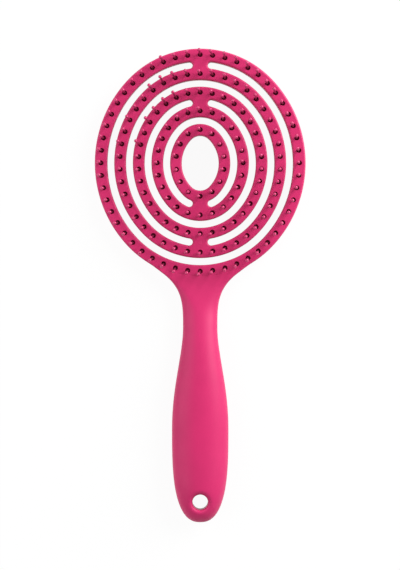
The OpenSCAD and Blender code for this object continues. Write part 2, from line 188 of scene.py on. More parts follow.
class Surface:
    """Grids of points that are welded to one closed mesh. Each point has a wear value from 0 to 1."""

    def __init__(self):
        self.points, self.wear, self.faces, self.lids, self.count = [], [], [], [], 0

    def add(self, points, quads, wear=0.0):
        """Adds points, and quads by the numbers of their corners."""
        self.points.append(points.reshape(-1, 3))
        self.wear.append(np.broadcast_to(wear, points.shape[:-1]).reshape(-1))
        self.faces.append(quads + self.count)
        self.count += len(self.points[-1])

    def add_grid(self, points, wear=0.0, wrap_rows=False, wrap_columns=False):
        """Adds a grid of the shape (rows, columns, 3), or many like it, by a first axis more."""
        rows, columns = points.shape[-3:-1]
        firsts = np.arange(0, points.size // 3, rows * columns)[:, None, None]
        quads = firsts + grid_quads(rows, columns, wrap_rows, wrap_columns)
        self.add(points, quads.reshape(-1, 4), wear)

    def add_lid(self, points):
        """Adds a flat or gently curved face with many corners."""
        self.points.append(np.asarray(points).reshape(-1, 3))
        self.wear.append(np.zeros(len(points)))
        self.lids.append(list(range(self.count, self.count + len(points))))
        self.count += len(points)

    def piece(self, name, sharp_angle=SHARP_ANGLE):
        """Welds the points, turns all faces outwards and returns the new object."""
        mesh = bpy.data.meshes.new(name)
        faces = np.concatenate(self.faces).tolist() + self.lids
        mesh.from_pydata(np.concatenate(self.points).tolist(), [], faces)
        attribute = mesh.attributes.new("wear", "FLOAT", "POINT")
        attribute.data.foreach_set("value", np.concatenate(self.wear).astype(np.float32))
        solid = bmesh.new()
        solid.from_mesh(mesh)
        bmesh.ops.remove_doubles(solid, verts=solid.verts, dist=WELD_REACH)
        bmesh.ops.dissolve_degenerate(solid, edges=solid.edges, dist=SLIVER)
        bmesh.ops.recalc_face_normals(solid, faces=solid.faces)
        if solid.calc_volume(signed=True) < 0:
            bmesh.ops.reverse_faces(solid, faces=solid.faces)
        open_edges = sum(len(edge.link_faces) != 2 for edge in solid.edges)
        if open_edges:
            raise RuntimeError(f"{name} is not closed: {open_edges} edges are open")
        solid.to_mesh(mesh)
        solid.free()
        mesh.shade_smooth()
        mesh.set_sharp_from_angle(angle=math.radians(sharp_angle))
        thing = bpy.data.objects.new(name, mesh)
        bpy.context.scene.collection.objects.link(thing)
        return thing


def smooth_step(value, start, end):
    """0 before start, 1 after end, and a cubic without corners between them."""
    t = np.clip((value - start) / (end - start), 0.0, 1.0)
    return t * t * (3.0 - 2.0 * t)


def cubic(value, start, end, first, last, first_slope, last_slope):
    """Cubic from first at start to last at end, with those slopes towards the end at either."""
    t = np.clip((value - start) / (end - start), 0.0, 1.0)
    return (first + (last - first) * smooth_step(value, start, end)
            + abs(end - start) * (first_slope * t * (1 - t) ** 2 - last_slope * t * t * (1 - t)))


class HeadPlan:
    """Plan of the head. The hole is an oval of four arcs about four centres, and every ring edge is a
    parallel curve of it, so a place in the head is a share of the way round and a distance outwards."""

    def __init__(self, sizes):
        """Works out the four arcs from the hole's width, its length and the radius of its ends."""
        self.sizes = sizes
        self.end_r = sizes.hole_end_radius
        half_w, half_l = sizes.hole_width / 2, sizes.hole_length / 2
        bulge = half_l - half_w
        self.arc_y = half_l - self.end_r
        self.arc_x = bulge + bulge ** 2 / (2 * (self.arc_y - bulge))
        self.side_r = half_w + self.arc_x
        self.joint = math.atan2(self.arc_y, self.arc_x)
        self.pitch = sizes.ring_width + sizes.slot_width
        self.centre_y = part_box("front_ring_1")[1].y - half_l - self.ring_edges(1)[1]

    def ring_edges(self, n):
        """Distances of ring n's inner and outer edge from the hole's edge."""
        inner = (len(RINGS) - n) * self.pitch
        return inner, inner + (self.sizes.rim_width if n == 1 else self.sizes.ring_width)

    def ring_mid(self, n):
        """Distance of its middle line from there."""
        return sum(self.ring_edges(n)) / 2

    def half_width(self, n):
        """Half of the ring's width."""
        inner, outer = self.ring_edges(n)
        return (outer - inner) / 2

    def arc_lengths(self, n):
        """Lengths, along the middle of ring n, of half its end arc and of a quarter of the ring."""
        d = self.ring_mid(n)
        end_arc = (self.end_r + d) * (math.pi / 2 - self.joint)
        return end_arc, end_arc + (self.side_r + d) * self.joint

    def pin_count(self, n):
        """Even number of pins whose spacing along the ring's middle comes nearest to the pitch."""
        quarter = self.arc_lengths(n)[1]
        return 2 * round(4 * quarter / (2 * self.sizes.pin_pitch))

    def frames(self, n, shares):
        """Arc centre, arc radius at the hole and outward direction at each share of the way round ring
        n, clockwise from the top. Equal shares are equal lengths along the ring's middle line."""
        d = self.ring_mid(n)
        end_arc, quarter = self.arc_lengths(n)
        turn = 4 * np.mod(shares, 1.0)
        part = np.floor(turn).astype(int)
        along = quarter * np.where(part % 2 == 0, turn - part, 1 - turn + part)
        on_end = along <= end_arc
        angle = np.where(on_end, along / (self.end_r + d),
                         math.pi / 2 - self.joint + (along - end_arc) / (self.side_r + d))
        right = np.where(part < 2, 1.0, -1.0)
        top = np.where((part == 0) | (part == 3), 1.0, -1.0)
        centre = np.stack([np.where(on_end, 0.0, -right * self.arc_x),
                           self.centre_y + np.where(on_end, top * self.arc_y, 0.0)], axis=-1)
        outward = np.stack([right * np.sin(angle), top * np.cos(angle)], axis=-1)
        return centre, np.where(on_end, self.end_r, self.side_r), outward

    def places(self, n, shares, distances):
        """Points at those shares of the way round ring n, so far outside the hole's edge."""
        centre, radius, outward = self.frames(n, shares)
        return centre + (radius + distances)[..., None] * outward


def raised(flat, z):
    """Points in space over flat points, at height z."""
    return np.concatenate([flat, np.broadcast_to(z, flat.shape[:-1])[..., None]], axis=-1)


# Rings

# Sides of a pin's hole, and steps along a pin's cell, across it and round a ring's edge
HOLE_SIDES = 20
LONG_STEPS = 6
CROSS_STEPS = 4
EDGE_STEPS = 6

# Turns of the hole's lip in degrees, and the flat margins round it and in the cell
LIP_TURNS = (30.0, 60.0, 90.0)
LIP_MARGIN = 0.08 * MM
CELL_MARGIN = 0.12 * MM
CELL_SHARE = 0.95

# Wear of the lip and of the seam's edge, where a ring's round edge has 1
LIP_WEAR = 0.4
SEAM_WEAR = 0.3


def cell_outline():
    """Corners of one pin's cell, anticlockwise from the middle of its right side, as shares of the
    pitch along the ring and of the flat's half width across it."""
    along = np.linspace(0.5, -0.5, LONG_STEPS + 1)
    across = np.linspace(-1.0, 1.0, CROSS_STEPS + 1)
    right, top = np.full(CROSS_STEPS, 0.5), np.full(LONG_STEPS, 1.0)
    u = np.concatenate([along[:-1], -right, along[:0:-1], right])
    v = np.concatenate([top, across[:0:-1], -top, across[:-1]])
    return np.roll(u, CROSS_STEPS // 2), np.roll(v, CROSS_STEPS // 2)


def edge_profile(radius, face_z, seam):
    """Profile of a moulding's edge: round a quarter circle, down the side and over the seam's chamfer.
    Returns the distance inside the side, the height and the wear."""
    turn = np.linspace(0.0, math.pi / 2, EDGE_STEPS + 1)
    down = -1.0 if face_z > PARTING_Z else 1.0
    inset = np.append(radius * (1 - np.sin(turn)), [0.0, seam])
    height = np.append(face_z + down * radius * (1 - np.cos(turn)), [PARTING_Z - down * seam, PARTING_Z])
    return inset, height, np.append(np.sin(2 * turn) ** 2, [0.0, SEAM_WEAR])


def ring_section(plan, n, face_z, deep_z):
    """Half section of a ring, from the edge of its flat face over its edge and inwards to the channel.
    Returns the distance from the ring's middle, the height and the wear."""
    sizes = plan.sizes
    inset, height, wear = edge_profile(sizes.edge_radius, face_z, sizes.seam)
    inner = sizes.channel_width / 2
    return (np.append(plan.half_width(n) - inset, [inner, inner]),
            np.append(height, [PARTING_Z, deep_z]), np.append(wear, [0.0, 0.0]))


def ring_front(plan, n):
    """Upper moulding of ring n: a flat face with a lipped hole for each pin, rounded edges and the
    channel behind. Each hole is a polar grid between its circle and the cell round it. The edges are
    the ring's section carried along the oval."""
    sizes = plan.sizes
    count = plan.pin_count(n)
    middle, flat = plan.ring_mid(n), plan.half_width(n) - sizes.edge_radius
    hole, lip = sizes.pin_hole / 2, sizes.hole_lip
    surface = Surface()

    u, v = cell_outline()
    pins = np.arange(count)
    shares = (pins[:, None] + u) / count
    inner_shares = (pins[:, None] + CELL_SHARE * u) / count
    top_cell = plan.places(n, shares, middle + flat * v)
    inner_cell = plan.places(n, inner_shares, middle + (flat - CELL_MARGIN) * v)
    low_cell = plan.places(n, shares, middle + sizes.channel_width / 2 * v)
    centre, radius, outward = plan.frames(n, pins / count)
    place = centre + (radius + middle)[:, None] * outward
    tangent = np.stack([outward[:, 1], -outward[:, 0]], axis=-1)
    around = np.arange(HOLE_SIDES) * 2 * math.pi / HOLE_SIDES
    rose = np.cos(around)[:, None] * tangent[:, None] + np.sin(around)[:, None] * outward[:, None]

    def circle(r, z):
        return raised(place[:, None] + r * rose, z)

    lips = np.radians(LIP_TURNS)
    levels = [raised(top_cell, FACE_Z), raised(inner_cell, FACE_Z),
              circle(hole + lip + LIP_MARGIN, FACE_Z), circle(hole + lip, FACE_Z),
              *(circle(hole + lip - lip * math.sin(a), FACE_Z - lip * (1 - math.cos(a))) for a in lips),
              circle(hole, CEILING_Z), raised(low_cell, CEILING_Z)]
    wear = np.pad(LIP_WEAR * np.sin(lips), (4, 2))
    surface.add_grid(np.stack(levels, axis=1), wear[:, None], wrap_columns=True)

    stations = (pins[:, None] + np.linspace(-0.5, 0.5, LONG_STEPS + 1)[:-1]).reshape(-1) / count
    distance, height, edge_wear = ring_section(plan, n, FACE_Z, CEILING_Z)
    for side in (-1.0, 1.0):
        strip = plan.places(n, stations[:, None], middle + side * distance)
        surface.add_grid(raised(strip, height), edge_wear, wrap_rows=True)
    return surface.piece(f"ring_{n}_face")


def ring_back(plan, n):
    """Lower moulding of ring n: its section with the channel's lower half, carried along the oval."""
    steps = plan.pin_count(n) * LONG_STEPS
    stations = np.arange(steps) / steps
    distance, height, wear = ring_section(plan, n, 0.0, plan.sizes.floor_thickness)
    distance = np.concatenate([-distance[::-1], distance])
    height, wear = np.concatenate([height[::-1], height]), np.concatenate([wear[::-1], wear])
    loop = plan.places(n, stations[:, None], plan.ring_mid(n) + distance)
    surface = Surface()
    surface.add_grid(raised(loop, height), wear, wrap_rows=True, wrap_columns=True)
    return surface.piece(f"ring_{n}_back")


# Webs

# How far a web's face lies under the rings' faces, and how far its ends reach into the rings
WEB_SINK = 0.004 * MM
WEB_OVERLAP = 0.3 * MM

# Steps round a slot's end and across a web, and the share of its width that these fill
SWING_STEPS = 24
ACROSS_STEPS = 10
ACROSS_SHARE = 0.97


def web_side(n):
    """1 where ring n hangs from its neighbour at the top of the head, -1 where at the bottom."""
    return 1.0 if n % 2 == 0 else -1.0


def slot_middle(plan, n):
    """Radius of the middle line of the slot outside ring n, about the centre of its end arc."""
    return plan.end_r + plan.ring_edges(n)[1] + plan.sizes.slot_width / 2


def web_y(plan, n, out=0.0):
    """Place along the brush of the middle of the web outside ring n, and so far out from there."""
    return plan.centre_y + web_side(n) * (plan.arc_y + slot_middle(plan, n) + out)


def web_half(plan, n, face_z, name):
    """One moulding's half of the web between rings n - 1 and n. Its two sides are the round ends of
    the slot: a quarter circle and a wall, turned by half a circle about the end's centre. The flat
    between them is an arc about the centre of the rings' end arc at each station. A station's loop
    runs over the face, down a side, back over the parting face and up the other side. The first and
    the last lie just under the rings' flats, and the side's profile closes them."""
    sizes = plan.sizes
    slot_r = sizes.slot_width / 2
    middle, side = slot_middle(plan, n), web_side(n)
    end_x = sizes.web_width / 2 + slot_r
    outward = np.array([end_x, math.sqrt(middle ** 2 - end_x ** 2)]) / middle
    along = np.array([outward[1], -outward[0]])
    sunk_z = face_z - WEB_SINK if face_z > PARTING_Z else face_z + WEB_SINK

    inset, height, wear = edge_profile(sizes.edge_radius, sunk_z, sizes.seam)
    radius = (slot_r + inset)[:, None]
    swing = np.radians(np.linspace(-90.0, 90.0, SWING_STEPS + 1))[:, None, None]
    flat = middle * outward + radius * (-np.cos(swing) * along + np.sin(swing) * outward)
    angle, reach = np.arctan2(flat[..., 0], flat[..., 1]), np.hypot(flat[..., 0], flat[..., 1])
    angle = np.concatenate([angle[:1], angle, angle[-1:]])
    reach = np.concatenate([reach[:1] - WEB_OVERLAP, reach, reach[-1:] + WEB_OVERLAP])

    def spots(angles, reaches):
        return np.stack([reaches * np.sin(angles),
                         plan.centre_y + side * (plan.arc_y + reaches * np.cos(angles))], axis=-1)

    def loop(values, on_face, on_seam, sign=1.0):
        return np.concatenate([on_face * values[:, :1], values[:, 1:], on_seam * values[:, -1:],
                               sign * values[:, -2:0:-1]], axis=1)

    fill = np.linspace(-ACROSS_SHARE, ACROSS_SHARE, ACROSS_STEPS + 1)
    across = np.concatenate([[-1.0], fill, [1.0]])
    rest = across[-2::-1]
    ones = np.ones(len(across)), np.ones(len(rest))
    angles, reaches = loop(angle, across, rest, -1.0), loop(reach, *ones)
    heights, wears = loop(height[None], *ones), loop(wear[None], 0 * ones[0], 0 * ones[1])
    surface = Surface()
    surface.add_grid(raised(spots(angles, reaches), heights), wears, wrap_columns=True)
    for end in (0, -1):
        profile = spots(angle[end][:, None] * across, reach[end][:, None])
        surface.add_grid(raised(profile, height[:, None]))
    return surface.piece(name)


# The ring whose web has the gate mark, and the mark's profile and wear from its foot to its centre
GATE_RING = 3
GATE_RADIUS_SHARES = np.array([1.0, 1.0, 0.95, 0.88, 0.8, 0.72, 0.4, 0.0])
GATE_HEIGHTS = MM * np.array([-0.3, 0.0, 0.035, 0.045, 0.03, 0.008, 0.004, 0.01])
GATE_WEAR = np.array([0.0, 0.2, 0.8, 1.0, 0.6, 0.2, 0.1, 0.1])
GATE_SIDES = 24


def gate_mark(plan, n):
    """A round gate mark: a disc with a raised lip, a profile of radius and height turned about its
    centre, on the face of the web outside ring n."""
    y = web_y(plan, n)
    radius = (plan.sizes.gate_width / 2 * GATE_RADIUS_SHARES)[:, None]
    around = np.arange(GATE_SIDES) * 2 * math.pi / GATE_SIDES
    flat = np.stack([radius * np.cos(around), y + radius * np.sin(around)], axis=-1)
    rings = raised(flat, (FACE_Z + GATE_HEIGHTS)[:, None])
    surface = Surface()
    surface.add_grid(rings, GATE_WEAR[:, None], wrap_columns=True)
    surface.add_lid(rings[0])
    return surface.piece("gate_mark")


# Handle

# Powers of the outline's flare, its swell and its end, the share of the flare from which it is
# straight, and the root of the end
FLARE_POWER = 3.68
FLARE_STRAIGHT = 1.077
SWELL_POWER = 0.82
END_POWER = 3.1
END_ROOT = 2.45

# Share of the length that thins to a round end, its power, and the top's slope at the neck, as a
# factor of its mean slope on to the grip
END_ROUND_SHARE = 0.19
END_ROUND_POWER = 2.4
NECK_CLIMB = 2.4

# Power of the crowned section, and what is added to it between these shares of its rounding
SECTION_POWER = 2.1
SOFTER_POWER = 1.2
SOFTER_SHARES = (0.15, 0.5)

# Where the section's rounding starts, below the first station, and ends, above the neck, and the
# share of it by which the rim's own edge has gone
ROUND_START = 1.5 * MM
ROUND_END = 6.0 * MM
RIM_EDGE_UNTIL = 0.25

# How far the first station lies in the head, over what length the outline turns in to it, and how
# much the other stations bend, where 1 is parallel to the rim
START_IN = 9.0 * MM
JOIN = 0.2 * MM
SAG_SHARE = 0.9

# Fillet where the flare meets the rim, step that measures the outline's slope, and level part of the
# parting line below the head
FILLET = 0.6 * MM
SLOPE_STEP = 0.05 * MM
LEVEL_OUT = 0.9 * MM

# Stations along the handle, columns on each side, and the power that crowds these to the edge
STATIONS = {"rim": 20, "flare": 28, "swell": 26, "grip": 18, "hole": 13, "end": 14}
HALF_COLUMNS = 30
COLUMN_POWER = 2.2

# Patch round the hanging hole: its reach to the neck and to the end, its share of the width, its
# rings between rim and border, and the steps of its rim
PATCH_REACH = 7.4 * MM
PATCH_END_REACH = 0.93 * PATCH_REACH
PATCH_SHARE = 0.72
PATCH_RINGS = (0.33, 0.66)
RIM_STEPS = 8

# Wear of the flare's edge, with its width, of the sides from skin to seam, and of the hole's rim
FLARE_WEAR = 0.6
FLARE_WEAR_WIDTH = 2.5 * MM
SIDE_WEAR = np.array([0.0, 0.1, 0.3])
RIM_WEAR = 0.5


class HandlePlan:
    """Outline, top, underside and parting line of the handle at each place along the brush."""

    def __init__(self, sizes, head):
        """Finds the places that the sizes name, and the rim's arc at the start."""
        self.sizes, self.head = sizes, head
        self.edge_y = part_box("front_ring_1")[0].y
        self.neck_y = self.edge_y - sizes.neck_distance
        self.grip_y = self.edge_y - sizes.grip_distance
        self.end_y = self.edge_y - sizes.handle_length
        self.hole_y = self.end_y + sizes.hanging_distance
        self.start_y = self.edge_y + START_IN
        self.outer_r = head.end_r + head.ring_edges(1)[1]
        self.start_r = self.outer_r - head.sizes.edge_radius
        self.arc_centre = head.centre_y - head.arc_y

    def at_start(self, y):
        """1 at the first station, and 0 a join's length below it."""
        return np.clip((y - self.start_y) / JOIN + 1, 0, 1)

    def half_width(self, y):
        """The rim's outer circle, straight lines that leave it with a fillet (a smooth maximum of the
        two widths), a power curve from there to the neck, a squared sine from the neck to the grip, and
        a superellipse from the grip to the end. The first station lies on the rim's flat face."""
        s = self.sizes
        part = np.clip(y - self.neck_y, 0, None) / s.neck_distance
        bent = np.minimum(part, FLARE_STRAIGHT)
        flare = bent ** FLARE_POWER + (part - bent) * FLARE_POWER * FLARE_STRAIGHT ** (FLARE_POWER - 1)
        swell = np.clip((self.neck_y - y) / (self.neck_y - self.grip_y), 0, 1) ** SWELL_POWER
        swell = np.sin(math.pi / 2 * swell) ** 2
        end = np.clip((self.grip_y - y) / (self.grip_y - self.end_y), 0, 1) ** END_POWER
        width = np.where(
            y >= self.neck_y, (s.neck_width + (s.flare_width - s.neck_width) * flare) / 2,
            np.where(y >= self.grip_y, (s.neck_width + (s.grip_width - s.neck_width) * swell) / 2,
                     s.grip_width / 2 * (1 - end) ** (1 / END_ROOT)))
        rim = np.sqrt(np.clip(self.outer_r ** 2 - (self.arc_centre - y) ** 2, 0, None)) - WEB_SINK
        near = np.clip(1 - np.abs(width - rim) / FILLET, 0, None)
        width = np.maximum(width, rim) + FILLET / 4 * near ** 2
        start = math.sqrt(self.start_r ** 2 - (self.arc_centre - self.start_y) ** 2)
        return width + (start - width) * self.at_start(y)

    def slope(self, y):
        """Slope of the half width along the brush, without its turn to the first station."""
        y = np.minimum(y, self.start_y - JOIN - SLOPE_STEP)
        return (self.half_width(y + SLOPE_STEP) - self.half_width(y - SLOPE_STEP)) / (2 * SLOPE_STEP)

    def end_keep(self, y):
        """Share of its thickness that the handle keeps at y, as it rounds off to its end."""
        e = np.clip(1 - (y - self.end_y) / (END_ROUND_SHARE * self.sizes.handle_length), 0, 1)
        return np.sqrt(1 - e ** END_ROUND_POWER)

    def parting(self, y):
        """Height of the parting line, which climbs from the head's to the grip's."""
        return PARTING_Z + (self.sizes.parting_height - PARTING_Z) * smooth_step(
            y, self.edge_y - LEVEL_OUT, self.neck_y - self.sizes.neck_distance / 2)

    def top(self, y):
        """One cubic from the face to the neck's thickness and another on to the grip's, which meet at
        the neck with the same slope. It rounds off to the end."""
        s = self.sizes
        slope = NECK_CLIMB * (s.grip_thickness - s.neck_thickness) / (self.neck_y - self.grip_y)
        crown = np.where(y >= self.neck_y,
                         cubic(y, self.start_y, self.neck_y, FACE_Z, s.neck_thickness, 0.0, slope),
                         cubic(y, self.neck_y, self.grip_y, s.neck_thickness, s.grip_thickness, slope, 0.0))
        return self.parting(y) + self.end_keep(y) * (crown - self.parting(y))

    def underside(self, y):
        """Flat on the plane that the brush lies on, and rounded up to the end."""
        return self.parting(y) * (1 - self.end_keep(y))

    def levels(self, y, upper):
        """Heights of a moulding's face and edge, and the seam's chamfer, which runs out at the end."""
        face = self.top(y) if upper else self.underside(y)
        chamfer = np.clip(np.abs(face - self.parting(y)) / MM, 0, 1) * self.head.sizes.seam
        return face, self.parting(y) + (chamfer if upper else -chamfer), chamfer

    def rounding(self, y):
        """0 at the head, where the section is a flat with small round edges, and 1 from the neck on,
        where it is one crowned curve from side to side."""
        return smooth_step(y, self.start_y - ROUND_START, self.neck_y + ROUND_END)

    def section(self, x, y, face, low):
        """Height of the skin at x: flat in the middle, and a superellipse quarter towards each side,
        which leaves the flat more softly between head and neck. By the rim it is the rim's own round
        edge, square to the outline. face and low are the heights of its middle and its edge."""
        edge, width, part = self.head.sizes.edge_radius, self.half_width(y), self.rounding(y)
        thick = np.abs(face - low)
        depth = np.where(thick > edge, edge * (1 - part) + thick * part, thick)
        reach = np.minimum(edge * (1 - part) + width * part, width)
        softer = smooth_step(part, 0.0, SOFTER_SHARES[0]) * smooth_step(part, 1.0, SOFTER_SHARES[1])
        power = 2.0 + (SECTION_POWER - 2.0) * part + SOFTER_POWER * softer
        u = np.clip((np.abs(x) - (width - reach)) / np.maximum(reach, SLIVER), 0, 1)
        spot = y - self.sag(x, y)
        inside = (self.half_width(spot) - np.abs(x)) / np.hypot(1, self.slope(spot))
        square = np.clip(1 - inside / edge, 0, 1)
        u = square + (u - square) * smooth_step(part, 0.0, RIM_EDGE_UNTIL)
        return face - np.sign(face - low) * depth * (1 - np.sqrt(1 - u ** power))

    def sag(self, x, y):
        """How far a station bends back from the rim at x. The first is parallel to the rim's outer
        edge, and the others a little straighter, so that they stay inside the outline."""
        bend = (smooth_step(y, self.neck_y + self.sizes.neck_distance / 3, self.start_y)
                * (SAG_SHARE + (1 - SAG_SHARE) * self.at_start(y)))
        return bend * (np.sqrt(self.start_r ** 2 - np.minimum(x, self.start_r) ** 2)
                       - np.sqrt(self.start_r ** 2 - self.half_width(y) ** 2))

    def stations(self):
        """Places along the handle, closer together at the head, round the hanging hole and at the
        end, and the numbers of the first and the last one round the hole."""
        rim_y = self.start_y - START_IN
        upper = np.concatenate([[self.start_y],
                                np.linspace(self.start_y - JOIN, rim_y, STATIONS["rim"])[:-1],
                                np.linspace(rim_y, self.neck_y, STATIONS["flare"])[:-1],
                                np.linspace(self.neck_y, self.grip_y, STATIONS["swell"])])
        hole = np.linspace(self.hole_y + PATCH_REACH, self.hole_y - PATCH_END_REACH, STATIONS["hole"])
        middle = np.linspace(self.grip_y, hole[0], STATIONS["grip"])[1:-1]
        end_l = self.grip_y - self.end_y
        last = (1 - ((self.grip_y - hole[-1]) / end_l) ** END_POWER) ** (1 / END_ROOT)
        width = last * np.cos(np.linspace(0, math.pi / 2, STATIONS["end"]))[1:]
        end = self.grip_y - end_l * (1 - width ** END_ROOT) ** (1 / END_POWER)
        first = len(upper) + len(middle)
        return np.concatenate([upper, middle, hole, end]), first, first + len(hole) - 1


def add_hanging_hole(surface, plan, upper, border, low_border):
    """Closes a moulding round the hanging hole: a polar grid from a quarter circle at the hole to the
    border of the skin, the hole's wall, and a ring in the parting face."""
    sizes = plan.sizes
    rim = sizes.hanging_rim if upper else sizes.hanging_back_rim
    radius = sizes.hanging_hole / 2
    bearing = np.arctan2(border[:, 1] - plan.hole_y, border[:, 0])
    rose = np.stack([np.cos(bearing), np.sin(bearing)], axis=-1)
    distance = np.hypot(border[:, 0], border[:, 1] - plan.hole_y)
    turn = np.linspace(0, math.pi / 2, RIM_STEPS + 1)[:, None]
    part = np.array(PATCH_RINGS)[:, None]
    rings = np.concatenate([radius + rim * (1 - np.cos(turn)) + 0 * distance,
                            (radius + rim) * (1 - part) + distance * part])
    wear = np.append(RIM_WEAR * np.sin(2 * turn) ** 2, np.zeros(len(PATCH_RINGS) + 1))
    flat = np.array([0.0, plan.hole_y]) + rings[..., None] * rose
    flat = np.concatenate([flat, border[None, :, :2]])
    rings = np.concatenate([rings, distance[None]])
    face, low, _ = plan.levels(flat[..., 1], upper)
    inward = np.clip(rim - (rings - radius), 0, rim)
    drop = rim - np.sqrt(rim ** 2 - inward ** 2)
    patch = raised(flat, plan.section(flat[..., 0], flat[..., 1], face, low) + (-drop if upper else drop))
    surface.add_grid(patch, wear[:, None], wrap_columns=True)
    low_circle = raised(flat[0], plan.parting(flat[0, :, 1]))
    surface.add_grid(np.stack([patch[0], low_circle]), wrap_columns=True)
    surface.add_grid(np.stack([low_circle, low_border]), wrap_columns=True)


def handle_half(plan, upper):
    """One moulding of the handle. The skin is a grid of stations along the handle and columns across
    it, open round the hanging hole. The parting face has the same grid, inset square to the outline by
    the seam's chamfer, which joins the two along the sides."""
    y, first, last = plan.stations()
    t = np.linspace(-1.0, 1.0, 2 * HALF_COLUMNS + 1)
    columns = np.sign(t) * (1 - (1 - np.abs(t)) ** COLUMN_POWER)
    rows = y[:, None]
    width, slope = plan.half_width(rows), plan.slope(rows)
    face, low, chamfer = plan.levels(rows, upper)
    x = width * columns
    skin_y = rows - plan.sag(x, rows)
    skin = np.stack([x, skin_y, plan.section(x, rows, face, low)], axis=-1)
    lean = chamfer / np.hypot(1, slope)
    inset = np.maximum(width - lean, 0)
    under_x = inset * columns
    under_y = rows + lean * slope + plan.sag(inset, rows) - plan.sag(under_x, rows)
    under = np.stack([under_x, under_y, np.broadcast_to(plan.parting(rows), x.shape)], axis=-1)

    surface = Surface()
    inside = np.flatnonzero(np.abs(columns) <= PATCH_SHARE)
    left, right = inside[0], inside[-1]
    kept = np.ones((len(y) - 1, len(columns) - 1), bool)
    kept[first:last, left:right] = False
    quads = grid_quads(*x.shape)[kept.reshape(-1)]
    near_side = np.clip(1 - (width - np.abs(x)) / FLARE_WEAR_WIDTH, 0, 1)
    surface.add(skin, quads, FLARE_WEAR * near_side * (1 - plan.rounding(rows)))
    surface.add(under, quads)
    for column in (0, -1):
        wall = np.stack([x[:, column], skin_y[:, column], low[:, 0]], axis=-1)
        surface.add_grid(np.stack([skin[:, column], wall, under[:, column]]), SIDE_WEAR[:, None])
        surface.add_lid([skin[0, column], wall[0], under[0, column]])
    surface.add_grid(np.stack([skin[0], under[0]]))

    def border(grid):
        return np.concatenate([grid[first, left:right], grid[first:last, right],
                               grid[last, right:left:-1], grid[last:first:-1, left]])

    add_hanging_hole(surface, plan, upper, border(skin), border(under))
    return surface.piece("handle_front" if upper else "handle_back", HANDLE_SHARP_ANGLE)


# Materials


def fill_inputs(node, inputs):
    """Fills a node's inputs with sockets, numbers or colours in linear light."""
    for key, value in inputs.items():
        socket = node.inputs[key]
        if isinstance(value, bpy.types.NodeSocket):
            node.id_data.links.new(value, socket)
        else:
            socket.default_value = (*value, 1.0) if socket.type == "RGBA" else value


def add_node(tree, kind, inputs, output, **settings):
    """Adds a node with those inputs and settings, and returns its output."""
    node = tree.nodes.new(kind)
    for name, value in settings.items():
        setattr(node, name, value)
    fill_inputs(node, inputs)
    return node.outputs[output]


def new_material(name):
    """An empty node material with its shader and Object coordinates."""
    material = bpy.data.materials.new(name)
    material.use_nodes = True
    tree = material.node_tree
    tree.nodes.clear()
    shader = tree.nodes.new("ShaderNodeBsdfPrincipled")
    fill_inputs(tree.nodes.new("ShaderNodeOutputMaterial"), {"Surface": shader.outputs["BSDF"]})
    return material, tree, shader, add_node(tree, "ShaderNodeTexCoord", {}, "Object")


def noise(tree, place, size, detail=2.0, rough=0.5):
    """Noise whose features are about size metres across."""
    return add_node(tree, "ShaderNodeTexNoise", {"Vector": place, "Scale": 1.0 / size, "Detail": detail,
                                                 "Roughness": rough}, "Fac")


def remap(tree, value, low, high, to_low, to_high):
    """Maps a value from one range to another, and keeps it inside."""
    return add_node(tree, "ShaderNodeMapRange", {"Value": value, "From Min": low, "From Max": high,
                                                 "To Min": to_low, "To Max": to_high}, "Result")


def mottle(tree, place, size, to_low, to_high, detail=2.0, spread=0.2):
    """Noise that runs between two values. spread is how far from its mean it reaches them."""
    return remap(tree, noise(tree, place, size, detail), 0.5 - spread, 0.5 + spread, to_low, to_high)


def mix_colours(tree, factor, first, second):
    """Mixes two colours, which are the node's inputs 6 and 7 and its output 2."""
    return add_node(tree, "ShaderNodeMix", {"Factor": factor, 6: first, 7: second}, 2, data_type="RGBA")


def maths(tree, operation, first, second):
    """A calculation with two sockets or numbers."""
    return add_node(tree, "ShaderNodeMath", {0: first, 1: second}, "Value", operation=operation)


def bump(tree, height, depth, strength):
    """The normal of a surface that is raised by a height from 0 to 1, times depth."""
    return add_node(tree, "ShaderNodeBump", {"Strength": strength, "Distance": depth, "Height": height},
                    "Normal")


def tinted(rgb, factor):
    """A colour times a factor, kept between 0 and 1."""
    return tuple(min(1.0, c * factor) for c in rgb)


def lacquered_plastic(name, finish):
    """Soft-touch lacquer on moulded plastic: a faint cloudiness of colour, fine grain in colour,
    roughness and bump, a weak sheen, and edges that rubbing made lighter and smoother."""
    material, tree, shader, place = new_material(name)
    cloud = mottle(tree, place, 22 * MM, 0.0, 1.0, detail=3.0)
    body = mix_colours(tree, cloud, tinted(finish.plastic, 0.955), tinted(finish.plastic, 1.045))
    speck = mottle(tree, place, 2.5 * finish.grain_size, 0.0, 0.10, spread=0.15)
    body = mix_colours(tree, speck, body, tinted(finish.plastic, 0.72))
    wear = add_node(tree, "ShaderNodeAttribute", {}, "Fac", attribute_name="wear")
    patchy = mottle(tree, place, 3 * MM, 0.25, 0.8, detail=3.0, spread=0.15)
    rubbed = maths(tree, "MULTIPLY", wear, patchy)
    rough = mottle(tree, place, 9 * MM, finish.roughness - 0.035, finish.roughness + 0.035)
    grain = noise(tree, place, finish.grain_size, 2.0, 0.6)
    fill_inputs(shader, {
        "Base Color": mix_colours(tree, rubbed, body, finish.plastic_worn),
        "Roughness": maths(tree, "SUBTRACT", rough, maths(tree, "MULTIPLY", rubbed, 0.10)),
        "Sheen Weight": finish.sheen, "Sheen Roughness": 0.45, "Sheen Tint": (1.0, 0.62, 0.78),
        "Specular IOR Level": 0.32, "Specular Tint": (1.0, 0.75, 0.86),
        "Normal": bump(tree, grain, finish.grain_depth, 0.6)})
    return material


